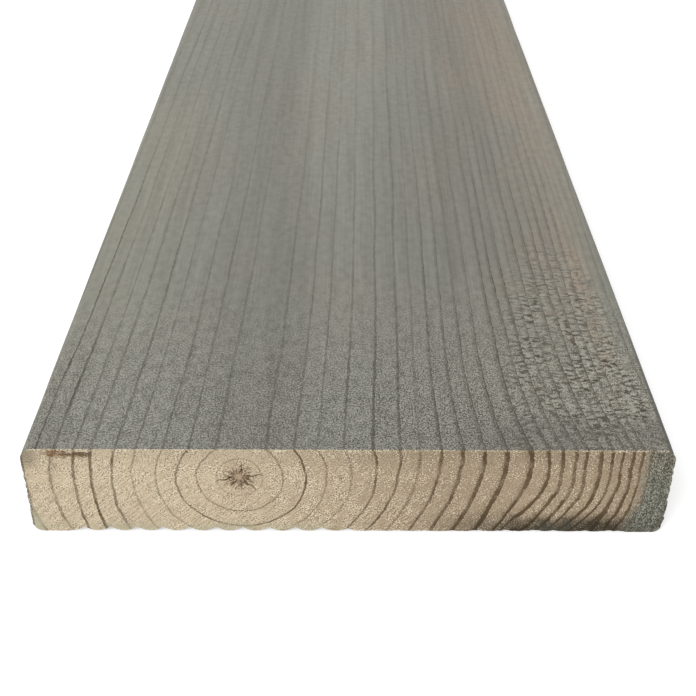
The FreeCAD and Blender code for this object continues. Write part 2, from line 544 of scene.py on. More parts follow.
def board_object():
    """The board as one Blender object, in metres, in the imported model's frame."""
    work, near_rim, far_rim = build_mesh()
    points = np.concatenate(work.points)
    points[:, 1] += NEAR_END
    mesh = bpy.data.meshes.new("board")
    mesh.from_pydata((points * MM).tolist(), [], work.faces)
    mesh.polygons.foreach_set("use_smooth", [True] * len(mesh.polygons))
    mesh.polygons.foreach_set("material_index", [material for _, material in work.marks])
    uv_layer = mesh.uv_layers.new(name="OFBake")
    places = [value for corners, _ in work.marks for corner in corners for value in corner]
    uv_layer.uv.foreach_set("vector", places)

    # The sawn ends meet the planed faces at a sharp edge.
    rim = set(near_rim.tolist()) | set(far_rim.tolist())
    sharp = [edge.vertices[0] in rim and edge.vertices[1] in rim for edge in mesh.edges]
    mesh.attributes.new("sharp_edge", "BOOLEAN", "EDGE").data.foreach_set("value", sharp)

    x, y, z = points.T
    check = np.where(y < NEAR_END + 1.5, check_mask(x, z, False), 0.0)
    check = np.where(y > NEAR_END + LENGTH - 1.5, check_mask(x, z, True), check)
    mesh.attributes.new("check", "FLOAT", "POINT").data.foreach_set("value", check)
    mesh.validate()
    mesh.update()
    board = bpy.data.objects.new("board_surface", mesh)
    bpy.context.scene.collection.objects.link(board)
    return board


# Materials


class Graph:
    """Adds nodes to a node tree. Every input can be a number, a tuple or another node's output."""

    def __init__(self, tree):
        self.tree = tree
        self.tree.nodes.clear()

    def node(self, kind, inputs=(), **settings):
        made = self.tree.nodes.new(kind)
        for name, value in settings.items():
            setattr(made, name, value)
        pairs = inputs.items() if isinstance(inputs, dict) else enumerate(inputs)
        for key, value in pairs:
            if isinstance(value, bpy.types.NodeSocket):
                self.tree.links.new(value, made.inputs[key])
            elif value is not None:
                made.inputs[key].default_value = value
        return made

    def calc(self, operation, *inputs):
        return self.node("ShaderNodeMath", inputs, operation=operation).outputs[0]

    def vector(self, operation, *inputs):
        return self.node("ShaderNodeVectorMath", inputs, operation=operation).outputs[0]

    def parts(self, vector):
        return self.node("ShaderNodeSeparateXYZ", [vector]).outputs

    def join(self, x, y, z):
        return self.node("ShaderNodeCombineXYZ", [x, y, z]).outputs[0]

    def ramp(self, value, low, high, to_low=0.0, to_high=1.0, shape="SMOOTHSTEP"):
        """The value stretched from one range to another and kept inside it."""
        made = self.node("ShaderNodeMapRange", [value, low, high, to_low, to_high])
        made.interpolation_type = shape
        return made.outputs[0]

    def blend(self, factor, a, b):
        """A number between two others."""
        return self.node("ShaderNodeMix", {0: factor, 2: a, 3: b}).outputs[0]

    def paint(self, factor, under, over, mode="MIX"):
        """One colour laid over another."""
        made = self.node("ShaderNodeMix", {0: factor}, data_type="RGBA", blend_type=mode)
        for key, value in ((6, under), (7, over)):
            if isinstance(value, bpy.types.NodeSocket):
                self.tree.links.new(value, made.inputs[key])
            else:
                made.inputs[key].default_value = (*value, 1.0)
        return made.outputs[2]

    def lumps(self, place, size, detail=2.0, seed=0.0):
        """Noise about 0.5 whose lumps have this size along X, Y and Z."""
        scaled = self.vector("MULTIPLY", place, tuple(1 / length for length in size))
        shifted = self.vector("ADD", scaled, (seed, seed * 1.7, seed * 0.6))
        inputs = {"Vector": shifted, "Scale": 1.0, "Detail": detail}
        return self.node("ShaderNodeTexNoise", inputs).outputs[0]

    def curve(self, value, points, smooth=False):
        """A curve through points whose places and heights lie from 0 to 1."""
        made = self.node("ShaderNodeFloatCurve", {1: value})
        line = made.mapping.curves[0]
        line.points[0].location = points[0]
        line.points[1].location = points[-1]
        for x, y in points[1:-1]:
            line.points.new(x, y)
        if not smooth:
            for point in line.points:
                point.handle_type = "VECTOR"
        made.mapping.update()
        return made.outputs[0]

    def profile(self, value, points, limit=1.0, smooth=True):
        """A height read off a curve whose points are given in the value's own units."""
        low, high = points[0][0], points[-1][0]
        scaled = self.ramp(value, low, high, shape="LINEAR")
        marks = [((at - low) / (high - low), height / limit) for at, height in points]
        return self.calc("MULTIPLY", self.curve(scaled, marks, smooth), limit)

    def place(self):
        """Where a point is, in millimetres from the middle of the near end's foot."""
        spot = self.node("ShaderNodeTexCoord").outputs["Object"]
        return self.vector("MULTIPLY_ADD", spot, (1 / MM,) * 3, (0.0, -NEAR_END, 0.0))


def with_outer_rings(rings):
    """The rings with others of even width beyond the last, out to the limit of the curves."""
    rings = list(rings)
    while len(rings) < RING_LIMIT:
        reach = min(rings[-1][0] + 4.6, REACH_LIMIT - 0.01 * (RING_LIMIT - len(rings)))
        rings.append((reach, 0.4, 0.9))
    return rings


def ring_curves(graph, reach, rings):
    """Ring number at a reach from the pith, that ring's darkness, and its shares of late wood."""
    rings = with_outer_rings(rings)
    numbers = [(0.0, 0.0)]
    numbers += [(r / REACH_LIMIT, (i + 1) / RING_LIMIT) for i, (r, _, _) in enumerate(rings)]
    number = graph.curve(graph.calc("DIVIDE", reach, REACH_LIMIT), numbers)
    widths = np.diff([0.0] + [r for r, _, _ in rings])

    def per_ring(values):
        first = [(0.0, float(values[0]))]
        return first + [((i + 1) / RING_LIMIT, float(v)) for i, v in enumerate(values)]

    darkness = graph.curve(number, per_ring([dark for _, dark, _ in rings]))
    late = [min(wide / width, 0.9) for (_, _, wide), width in zip(rings, widths)]
    line = [min((0.32 + 0.50 * wide) / width, 0.9) for (_, _, wide), width in zip(rings, widths)]
    shares = graph.curve(number, per_ring(late)), graph.curve(number, per_ring(line))
    return graph.calc("MULTIPLY", number, RING_LIMIT), darkness, *shares


def ring_reach(g, dx, z, rise, guess, right):
    """Reach of a point's ring from the pith, from how the ring near the guessed reach bends."""
    sides = []
    for column, limit in ((1, MIDDLE_LIMIT), (2, BEND_LIMIT)):
        left_side, right_side = (
            g.profile(guess, [(row[0], row[column]) for row in bend], limit)
            for bend in (LEFT_BEND, RIGHT_BEND)
        )
        sides.append(g.blend(right, left_side, right_side))
    middle, bend = sides
    dz = g.calc("SUBTRACT", g.calc("SUBTRACT", z, rise), middle)
    above = g.ramp(guess, UPRIGHT_REACH, UPRIGHT_REACH + 8, 1.0, 0.35)
    dz = g.calc("MINIMUM", dz, g.calc("MULTIPLY", dz, above))
    upright = g.calc("MULTIPLY", bend, g.calc("MULTIPLY", dz, dz))
    return g.calc("SQRT", g.calc("MULTIPLY_ADD", dx, dx, upright))


def ring_group():
    """Node group: the late wood's darkness, a point's ring, and its place about the pith.

    Band is the whole late wood, Line its dense outer part and Edge the thin outermost of that.
    Soft is a blurred line about a ring's border.
    """
    tree = bpy.data.node_groups.new("growth rings", "ShaderNodeTree")
    tree.interface.new_socket("Place", in_out="INPUT", socket_type="NodeSocketVector")
    for name in ("Line", "Band", "Edge", "Soft", "Number", "Reach", "Turn"):
        tree.interface.new_socket(name, in_out="OUTPUT", socket_type="NodeSocketFloat")
    g = Graph(tree)
    place = g.node("NodeGroupInput").outputs[0]
    x, y, z = g.parts(place)

    drift, rise = (
        g.calc("SUBTRACT", g.profile(y, points, 2 * DRIFT_LIMIT), DRIFT_LIMIT)
        for points in (
            [(s, DRIFT_LIMIT + d) for s, d, _ in PITH_PATH],
            [(s, DRIFT_LIMIT + r) for s, _, r in PITH_PATH],
        )
    )
    slow = g.ramp(g.lumps(place, (14, 70, 14), 1), 0, 1, -0.7, 0.7, "LINEAR")
    quick = g.ramp(g.lumps(place, (3.2, 34, 4), 2, 3.1), 0, 1, -0.4, 0.4, "LINEAR")
    fray = g.ramp(g.lumps(place, (0.9, 2.4, 0.9), 2, 5.3), 0, 1, -0.32, 0.32, "LINEAR")
    wander = g.calc("ADD", g.calc("ADD", slow, quick), fray)
    from_pith = g.calc("SUBTRACT", g.calc("ADD", x, wander), drift)
    from_pith = g.calc("SUBTRACT", from_pith, PITH_X)

    # Towards the near end the right-hand rings flare outwards.
    settled = g.calc("SUBTRACT", 1.0, g.calc("EXPONENT", g.calc("DIVIDE", y, -FLARE_LENGTH)))
    flare = g.calc("MULTIPLY", g.profile(from_pith, FLARE, 10.0), settled)
    dx = g.calc("ADD", from_pith, flare)
    above = g.calc("SUBTRACT", g.calc("SUBTRACT", z, PITH_Z), rise)
    straight = g.calc("SQRT", g.calc("MULTIPLY_ADD", dx, dx, g.calc("MULTIPLY", above, above)))
    right = g.ramp(g.calc("DIVIDE", dx, g.calc("MAXIMUM", straight, 0.01)), -0.9, 0.9)
    first = ring_reach(g, dx, z, rise, straight, right)
    reach = ring_reach(g, dx, z, rise, first, right)

    left_curves = ring_curves(g, reach, LEFT_RINGS)
    right_curves = ring_curves(g, reach, RIGHT_RINGS)
    number, dark, late_share, line_share = (
        g.blend(right, a, b) for a, b in zip(left_curves, right_curves)
    )
    part = g.calc("FRACT", number)
    band = g.ramp(part, g.calc("SUBTRACT", 1.0, late_share), 1.0, shape="LINEAR")
    inner = g.calc("SUBTRACT", 1.0, line_share)
    full = g.calc("SUBTRACT", 1.0, g.calc("MULTIPLY", line_share, 0.6))
    line = g.ramp(part, inner, full)
    edge = g.ramp(part, g.calc("SUBTRACT", 1.0, g.calc("MULTIPLY", line_share, 0.5)), 1.0)
    soft = g.calc("MAXIMUM", g.ramp(part, 0.76, 0.97), g.ramp(part, 0.13, 0.0))
    patchy = g.ramp(g.lumps(place, (4, 40, 4), 2, 7.7), 0.3, 0.7, 0.62, 1.2, "LINEAR")
    dark = g.calc("MULTIPLY", dark, patchy)
    outputs = {
        "Line": g.calc("MULTIPLY", line, dark),
        "Band": g.calc("MULTIPLY", g.calc("POWER", band, 1.15), dark),
        "Edge": g.calc("MULTIPLY", edge, dark),
        "Soft": g.calc("MULTIPLY", soft, dark),
        "Number": g.calc("FLOOR", number),
        "Reach": reach,
        "Turn": g.calc("ARCTAN2", above, from_pith),
    }
    g.node("NodeGroupOutput", outputs)
    return tree


# Colours, as light reflected from 0 to 1.
CREAM = (0.70, 0.572, 0.398)
TAN = (0.400, 0.305, 0.203)
PALE_FLECK = (0.95, 0.84, 0.64)
PORE = (0.20, 0.142, 0.084)
LATE_WOOD = (0.130, 0.088, 0.047)
RUST_STAIN = (0.23, 0.115, 0.055)
ROSY = (0.50, 0.36, 0.25)
GREY_SAPWOOD = (0.135, 0.142, 0.110)
SAPWOOD_PALE = (0.46, 0.46, 0.39)
# Grey dirt on the sapwood, also laid on as painted shade in the upper left corner of a sawn end.
GREY_DIRT_AND_SHADE = (0.060, 0.058, 0.042)
GREEN_TINGE = (0.52, 0.51, 0.36)
FOOT_DIRT = (0.038, 0.030, 0.018)
MOULD = (0.085, 0.090, 0.066)
CRACK = (0.125, 0.074, 0.036)
HAIRS = (0.195, 0.128, 0.074)
STAIN_GREY = (0.256, 0.253, 0.217)
STAIN_WARM = (0.275, 0.250, 0.200)
STAIN_ROSY = (0.300, 0.255, 0.205)
STAIN_RUSTY = (0.320, 0.225, 0.145)
STAIN_YELLOWED = (0.48, 0.46, 0.33)
STAIN_GREENISH = (0.240, 0.262, 0.212)
TORN_DARK = (0.062, 0.054, 0.038)
STAINED_RING = (0.088, 0.082, 0.059)
STAIN_DARK = (0.085, 0.083, 0.068)
STAIN_PALE = (0.50, 0.49, 0.42)

# How light the stain is across the walking face, from the left side to the right.
STAIN_TONE = (
    (-72.5, 0.93),
    (-68, 0.96),
    (-60, 0.97),
    (-43, 0.94),
    (-26, 0.865),
    (-10, 1.015),
    (0, 1.04),
    (9, 0.99),
    (24, 0.905),
    (34, 0.858),
    (50, 0.854),
    (60, 0.925),
    (67, 0.98),
    (72.5, 0.98),
)

# The same close to a sawn end, where the face is darker.
END_TONE = (
    (-72.5, 0.93),
    (-36, 0.92),
    (-8, 0.79),
    (20, 0.84),
    (36, 0.975),
    (48, 1.015),
    (60, 1.0),
    (72.5, 0.86),
)

# How strongly the growth rings show through the stain, from the left side to the right.
GRAIN_STRENGTH = (
    (-72.5, 0.38),
    (-70.8, 1.15),
    (-66, 1.15),
    (-60, 0.62),
    (-55, 0.55),
    (-45, 0.80),
    (-34, 0.55),
    (-17, 0.66),
    (-10, 0.40),
    (-5, 0.66),
    (1, 1.10),
    (7, 0.62),
    (16, 0.64),
    (24, 0.46),
    (32, 0.36),
    (40, 0.50),
    (50, 0.52),
    (60, 0.50),
    (71, 0.60),
    (72.5, 0.60),
)

# How the growth rings fade under the stain, by distance from the nearer end.
GRAIN_FADE = (
    (0, 1.20),
    (25, 1.14),
    (60, 0.92),
    (150, 0.55),
    (300, 0.42),
    (450, 0.42),
)


def surface(name, colour_and_height, roughness, specular, bump):
    """A material from a function that returns a colour and a height in millimetres."""
    material = bpy.data.materials.new(name)
    material.use_nodes = True
    g = Graph(material.node_tree)
    colour, height = colour_and_height(g)
    normal = g.node("ShaderNodeBump", {"Strength": bump, "Distance": MM, "Height": height}).outputs[0]
    inputs = {"Base Color": colour, "Roughness": roughness, "Specular IOR Level": specular, "Normal": normal}
    shader = g.node("ShaderNodeBsdfPrincipled", inputs).outputs[0]
    g.node("ShaderNodeOutputMaterial", [shader])
    return material


def rings(g, place):
    made = g.node("ShaderNodeGroup", node_tree=bpy.data.node_groups["growth rings"])
    g.tree.links.new(place, made.inputs[0])
    return made.outputs


def box_mask(g, value, low, high, soft):
    """1 where a value lies between two limits, with soft borders."""
    up = g.ramp(value, low - soft, low + soft)
    down = g.ramp(value, high - soft, high + soft, 1.0, 0.0)
    return g.calc("MULTIPLY", up, down)


def sawn_wood(g):
    """End grain: cream early wood, brown late wood, saw marks, flecks, stains and the pith."""
    place = g.place()
    x, y, z = g.parts(place)
    ring = rings(g, place)

    fine = g.lumps(place, (0.30, 0.30, 0.30), 2, 11)
    medium = g.lumps(place, (2.4, 2.4, 2.4), 3, 12)
    broad = g.lumps(place, (11, 11, 11), 2, 13)
    patches = g.lumps(place, (3.4, 3.4, 3.4), 2, 16)
    colour = g.paint(g.ramp(x, -44, 26), CREAM, TAN)
    colour = g.paint(g.ramp(broad, 0.5, 0.75, 0, 0.30), colour, ROSY)
    sparse = g.ramp(x, -5, 28, 0.0, 0.035)
    speckled = g.ramp(patches, 0.36, 0.60, 0.45, 1.1)
    pale = g.ramp(g.calc("SUBTRACT", fine, sparse), 0.51, 0.61, 0, 0.95)
    pores = g.calc("MULTIPLY", g.ramp(fine, 0.47, 0.36), g.ramp(x, -5, 28, 0.95, 0.50))
    colour = g.paint(g.calc("MULTIPLY", pale, speckled), colour, PALE_FLECK)
    colour = g.paint(g.calc("MULTIPLY", pores, g.calc("MINIMUM", speckled, 1.0)), colour, PORE)
    colour = g.paint(g.ramp(medium, 0.55, 0.8, 0, 0.20), colour, PORE)

    # Saw marks climb to the right, and show most on the lower left.
    slant = math.radians(41)
    turned = g.node("ShaderNodeVectorRotate", {0: place, 3: slant}, rotation_type="Y_AXIS").outputs[0]
    scratches = g.lumps(turned, (3.6, 3.6, 0.17), 1, 14)
    wide_marks = g.lumps(turned, (30, 30, 1.1), 1, 15)
    where = g.calc("MULTIPLY", g.ramp(x, 40, -40, 0.2, 1.0), g.ramp(z, 24, 8, 0.3, 1.0))
    marks = g.calc("MULTIPLY", g.ramp(scratches, 0.52, 0.66), where)
    cuts = g.calc("MULTIPLY", g.ramp(scratches, 0.48, 0.36), where)
    colour = g.paint(g.calc("MULTIPLY", marks, 0.56), colour, PALE_FLECK)
    colour = g.paint(g.calc("MULTIPLY", cuts, 0.36), colour, PORE)
    colour = g.paint(g.ramp(wide_marks, 0.5, 0.75, 0, 0.08), colour, PORE)

    shade = g.calc("MULTIPLY", ring["Band"], g.ramp(x, -20, 30, 0.50, 0.86))
    late = g.calc("MAXIMUM", shade, ring["Line"])
    late = g.calc("MULTIPLY", late, g.ramp(z, 17, 23, 1.0, 1.2))
    low_right = g.calc("MULTIPLY", g.ramp(z, 17, 6), g.ramp(x, 14, 34))
    low_left = g.calc("MULTIPLY", g.ramp(z, 12, 5), box_mask(g, x, -62, -54, 1.5))
    low = g.calc("ADD", low_right, low_left)
    late = g.calc("MULTIPLY", late, g.calc("MULTIPLY_ADD", low, 0.4, 1.0))
    outermost = g.calc("MULTIPLY", g.ramp(x, -68.2, -69.0), g.ramp(z, 5, 9, 0.0, 0.9))
    late = g.calc("MULTIPLY", late, g.calc("SUBTRACT", 1.0, outermost))
    grainy = g.ramp(fine, 0.35, 0.65, 1.10, 0.84)
    colour = g.paint(g.calc("MINIMUM", g.calc("MULTIPLY", late, grainy), 1.0), colour, LATE_WOOD)
    tops = g.calc("MULTIPLY", g.ramp(z, 15.5, 20.5), g.ramp(x, 36, 50))
    colour = g.paint(g.calc("MULTIPLY", g.calc("MULTIPLY", ring["Line"], tops), 0.42), colour, CRACK)

    # Stained sapwood on the right, past a border that leans in at the foot.
    ragged = g.ramp(medium, 0.3, 0.7, -1.2, 1.2, "LINEAR")
    lean = g.ramp(z, 11, 0, 0, 3.4)
    border = g.calc("ADD", g.calc("ADD", x, lean), g.calc("MULTIPLY", ragged, 0.4))
    colour = g.paint(g.ramp(border, 52, 66, 0, 0.16), colour, LATE_WOOD)
    sapwood = g.ramp(border, 64.4, 68.0)
    weave = g.lumps(place, (0.25, 0.25, 0.50), 1, 18)
    stripes = g.lumps(place, (0.7, 0.7, 7), 1, 23)
    stained = g.paint(g.ramp(stripes, 0.45, 0.65, 0, 0.30), GREY_SAPWOOD, SAPWOOD_PALE)
    stained = g.paint(g.ramp(z, 14, 22, 0, 0.30), stained, TAN)
    stained = g.paint(g.ramp(weave, 0.50, 0.62, 0, 0.75), stained, SAPWOOD_PALE)
    stained = g.paint(g.ramp(weave, 0.49, 0.39, 0, 0.85), stained, GREY_DIRT_AND_SHADE)
    stained = g.paint(g.calc("MULTIPLY", g.ramp(patches, 0.45, 0.7), 0.35), stained, MOULD)
    stained = g.paint(g.calc("MULTIPLY", ring["Line"], 0.8), stained, GREY_DIRT_AND_SHADE)
    colour = g.paint(g.calc("MULTIPLY", sapwood, 0.97), colour, stained)

    # Rust-brown stain under the upper edge on the left, darkest at its right end.
    spread = g.ramp(g.lumps(place, (1.6, 1.6, 1.0), 3, 19), 0.3, 0.7, -1.3, 1.3, "LINEAR")
    rust_x = box_mask(g, g.calc("ADD", x, ragged), -67.5, -58.0, 1.6)
    level = g.calc("ADD", z, g.calc("MULTIPLY", g.calc("ADD", x, 63.0), 0.09))
    rust_z = box_mask(g, g.calc("ADD", level, g.calc("MULTIPLY", spread, 0.55)), 21.9, 23.3, 0.6)
    near = g.calc("LESS_THAN", y, LENGTH / 2)
    rusty = g.calc("MULTIPLY", g.calc("MULTIPLY", rust_x, rust_z), g.ramp(fine, 0.62, 0.42, 0.75, 1.0))
    colour = g.paint(g.calc("MULTIPLY", rusty, near), colour, RUST_STAIN)
    streak_x = box_mask(g, g.calc("ADD", x, ragged), -63.2, -57.0, 1.0)
    streak_z = box_mask(g, g.calc("ADD", z, g.calc("MULTIPLY", spread, 0.65)), 21.9, 23.0, 0.6)
    streak = g.calc("MULTIPLY", g.calc("MULTIPLY", streak_x, streak_z), near)
    streak = g.calc("MULTIPLY", streak, g.ramp(fine, 0.64, 0.44, 0.45, 0.92))
    colour = g.paint(streak, colour, LATE_WOOD)
    # Painted shade in the upper left corner, below the rounded top edge.
    corner = g.calc("MULTIPLY", g.ramp(x, -67.0, -71.2), g.ramp(z, 17.0, 21.5))
    colour = g.paint(g.calc("MULTIPLY", g.calc("MULTIPLY", corner, near), 0.42), colour, GREY_DIRT_AND_SHADE)
    smear = g.calc("MULTIPLY", box_mask(g, g.calc("ADD", x, ragged), -66.4, -65.0, 1.1), box_mask(g, z, 17.5, 21.5, 1.2))
    colour = g.paint(g.calc("MULTIPLY", g.calc("MULTIPLY", smear, near), 0.42), colour, LATE_WOOD)

    # Dirt along the lower edge on the right, and a green tinge at the grooves on the left.
    low_edge = g.ramp(g.calc("ADD", z, g.calc("MULTIPLY", ragged, 1.1)), 7.2, 1.4)
    dirty = g.calc("MULTIPLY", low_edge, g.ramp(x, 12, 46))
    dirty = g.calc("MULTIPLY", dirty, g.calc("MULTIPLY_ADD", near, 0.6, 0.4))
    dirty = g.calc("MULTIPLY", dirty, g.ramp(fine, 0.64, 0.50, 0.72, 1.0))
    dirty = g.calc("MULTIPLY", dirty, g.calc("SUBTRACT", 1.0, g.calc("MULTIPLY", sapwood, 0.7)))
    colour = g.paint(g.calc("MULTIPLY", dirty, 0.95), colour, FOOT_DIRT)
    mould_z = g.ramp(g.calc("ADD", z, g.calc("MULTIPLY", ragged, 0.8)), 3.6, 2.2)
    mould = g.calc("MULTIPLY", box_mask(g, g.calc("ADD", x, ragged), 44.0, 51.5, 2.5), mould_z)
    mould = g.calc("MULTIPLY", mould, g.ramp(fine, 0.60, 0.45, 0.20, 0.55))
    colour = g.paint(g.calc("MULTIPLY", mould, near), colour, MOULD)
    tinge = g.calc("MULTIPLY", g.ramp(z, 3.6, 1.0, 0, 0.5), g.ramp(x, 10, -12))
    colour = g.paint(g.calc("MULTIPLY", tinge, g.ramp(broad, 0.35, 0.6)), colour, GREEN_TINGE)
    left_foot = g.calc("MULTIPLY", g.ramp(x, -69.4, -70.8), g.ramp(z, 7.0, 3.5))
    colour = g.paint(g.calc("MULTIPLY", left_foot, 0.7), colour, GREEN_TINGE)

    # Painted shade: the face darkens a little towards its upper edge.
    shade = g.ramp(z, 16.5, 23.0, 1.0, 0.88)
    colour = g.vector("MULTIPLY", colour, g.join(shade, shade, shade))

    # Pale fibres along the upper edge, and the stain's thin grey rim down the left side.
    fringe = g.calc("MULTIPLY", g.ramp(z, 23.1, 23.8), g.ramp(fine, 0.46, 0.58, 0.0, 0.75))
    fringe = g.calc("MULTIPLY", fringe, g.ramp(patches, 0.40, 0.62, 0.35, 1.0))
    colour = g.paint(fringe, colour, PALE_FLECK)
    rim_reach = g.calc("ADD", x, g.calc("MULTIPLY", ragged, 0.25))
    rim = g.calc("MULTIPLY", g.ramp(rim_reach, -HALF_WIDTH + 0.8, -HALF_WIDTH + 0.3), 0.9)
    rim = g.calc("MULTIPLY", rim, g.ramp(fine, 0.58, 0.44, 0.25, 1.0))
    colour = g.paint(rim, colour, STAIN_DARK)

    check = g.node("ShaderNodeAttribute", attribute_name="check").outputs["Fac"]
    core = g.ramp(ring["Reach"], 2.0, 1.1)
    hairs = g.lumps(g.join(ring["Turn"], ring["Reach"], 0.0), (0.085, 1.2, 1.0), 1, 17)
    blotches = g.lumps(place, (0.5, 0.5, 0.5), 2, 20)
    hairs = g.calc("ADD", g.calc("MULTIPLY", hairs, 0.65), g.calc("MULTIPLY", blotches, 0.35))
    around = g.calc("MULTIPLY", g.ramp(ring["Reach"], 5.2, 1.8, 0, 0.95), g.ramp(hairs, 0.53, 0.45))
    colour = g.paint(around, colour, HAIRS)
    colour = g.paint(check, colour, CRACK)
    colour = g.paint(g.calc("MULTIPLY", core, 0.6), colour, ROSY)

    height = g.calc("MULTIPLY", fine, 0.16)
    height = g.calc("ADD", height, g.calc("MULTIPLY", ring["Line"], 0.05))
    height = g.calc("ADD", height, g.calc("MULTIPLY", marks, 0.05))
    return colour, height


def stained_wood(g):
    """Planed faces: grey stain over the grain, with torn fibres on the right near the end."""
    place = g.place()
    x, y, z = g.parts(place)
    ring = rings(g, place)
    from_end = g.calc("MINIMUM", y, g.calc("SUBTRACT", LENGTH, y))

    fine = g.lumps(place, (0.34, 0.40, 0.34), 2, 41)
    medium = g.lumps(place, (7, 16, 7), 3, 42)
    broad = g.lumps(place, (26, 70, 26), 2, 43)
    fibre = g.lumps(place, (0.55, 30, 0.9), 2, 44)
    streak = g.lumps(place, (2.6, 120, 3.2), 2, 45)
    mottle = g.lumps(place, (2.2, 3.4, 2.2), 2, 47)

    # The sides and the underside, which the photo leaves out.
    unseen = g.ramp(z, 22.5, 20.5)

    # Torn fibres cover the right of the walking face near the front end.
    from_left = g.calc("MULTIPLY_ADD", from_end, -0.12, x)
    from_right = g.calc("MULTIPLY_ADD", from_end, 0.06, x)
    torn = g.calc("MULTIPLY", g.ramp(from_left, 28, 43), g.ramp(from_right, 72.4, 69.0))
    torn = g.calc("MULTIPLY", torn, g.ramp(from_end, 112, 48))
    torn = g.calc("MULTIPLY", torn, g.ramp(medium, 0.38, 0.58, 0.45, 1.0))
    beside_pith = g.calc("MULTIPLY", box_mask(g, x, -26, -15, 4), box_mask(g, from_end, 90, 220, 20))
    torn = g.calc("ADD", torn, g.calc("MULTIPLY", beside_pith, 0.09))
    torn = g.calc("MULTIPLY", torn, g.calc("LESS_THAN", y, LENGTH / 2))
    torn = g.calc("MULTIPLY", torn, g.calc("SUBTRACT", 1.0, unseen))

    colour = g.paint(g.ramp(broad, 0.45, 0.65, 0, 0.35), STAIN_GREY, STAIN_WARM)
    rosy = g.calc("MULTIPLY", g.ramp(x, 20, 52), g.ramp(broad, 0.38, 0.60, 0.50, 1.0))
    rosy = g.calc("MULTIPLY", rosy, g.ramp(medium, 0.35, 0.65, 0.65, 1.0))
    rosy = g.calc("MULTIPLY", rosy, g.ramp(x, 64, 71, 1.0, 0.35))
    rosy = g.calc("MULTIPLY", rosy, g.calc("MULTIPLY_ADD", box_mask(g, from_end, 85, 165, 35), -0.45, 1.0))
    colour = g.paint(rosy, colour, STAIN_ROSY)
    warm = g.calc("MULTIPLY", g.ramp(x, 6, 36), g.ramp(from_end, 80, 15, 0, 0.7))
    colour = g.paint(warm, colour, STAIN_WARM)
    tints = g.lumps(place, (5, 8, 5), 2, 48)
    colour = g.paint(g.calc("MULTIPLY", torn, g.ramp(tints, 0.5, 0.7, 0, 0.5)), colour, STAIN_RUSTY)
    colour = g.paint(g.calc("MULTIPLY", torn, g.ramp(tints, 0.48, 0.32, 0, 0.45)), colour, STAIN_GREENISH)
    green_side = g.calc("MULTIPLY", g.ramp(x, 62, 69), box_mask(g, from_end, 35, 95, 30))
    colour = g.paint(g.calc("MULTIPLY", green_side, 0.35), colour, STAIN_GREENISH)
    pink = g.calc("MULTIPLY", box_mask(g, x, 61.0, 65.5, 2.5), box_mask(g, from_end, 14, 100, 20))
    colour = g.paint(g.calc("MULTIPLY", pink, g.ramp(mottle, 0.35, 0.60, 0.12, 0.5)), colour, STAIN_RUSTY)
    sharp = g.ramp(from_end, 110, 240, 1.0, 0.45)
    colour = g.paint(g.calc("MULTIPLY", sharp, g.ramp(fibre, 0.52, 0.72, 0, 0.10)), colour, STAIN_PALE)
    colour = g.paint(g.calc("MULTIPLY", sharp, g.ramp(fibre, 0.48, 0.30, 0, 0.12)), colour, STAIN_DARK)
    colour = g.paint(g.ramp(streak, 0.50, 0.70, 0, 0.18), colour, STAIN_DARK)
    colour = g.paint(g.ramp(streak, 0.48, 0.28, 0, 0.09), colour, STAIN_PALE)

    # The sides and the underside keep their speckle all along.
    worn = g.calc("MULTIPLY", unseen, 0.40)

    # The ends are mottled, rougher and speckled.
    mottled = g.ramp(from_end, 90, 15, 0.35, 1.0)
    colour = g.paint(g.calc("MULTIPLY", g.ramp(mottle, 0.48, 0.66, 0, 0.20), mottled), colour, STAIN_PALE)
    colour = g.paint(g.calc("MULTIPLY", g.ramp(mottle, 0.50, 0.32, 0, 0.33), mottled), colour, STAIN_DARK)
    rough = g.calc("MULTIPLY", g.ramp(from_end, 92, 10, 0.02, 1.0), g.ramp(x, -20, 24, 0.82, 1.10))
    rough = g.calc("MAXIMUM", rough, g.calc("MAXIMUM", g.ramp(y, 500, 800, 0.0, 0.35), worn))
    colour = g.paint(g.calc("MULTIPLY", g.ramp(fine, 0.50, 0.61, 0, 0.78), rough), colour, STAIN_PALE)
    colour = g.paint(g.calc("MULTIPLY", g.ramp(fine, 0.50, 0.38, 0, 0.95), rough), colour, STAIN_DARK)

    # Short dashes across the grain where fibres are torn, each within its own ring.
    apart = g.vector("ADD", place, g.join(0.0, g.calc("MULTIPLY", ring["Number"], 5.3), 0.0))
    dash = g.lumps(apart, (2.3, 1.05, 2.3), 2, 46)
    torn = g.calc("MULTIPLY", torn, g.ramp(from_end, 2, 18, 0.65, 1.0))
    colour = g.paint(g.calc("MULTIPLY", torn, g.ramp(dash, 0.48, 0.40, 0, 0.55)), colour, STAIN_PALE)
    colour = g.paint(g.calc("MULTIPLY", torn, g.ramp(dash, 0.54, 0.60, 0, 1.0)), colour, TORN_DARK)

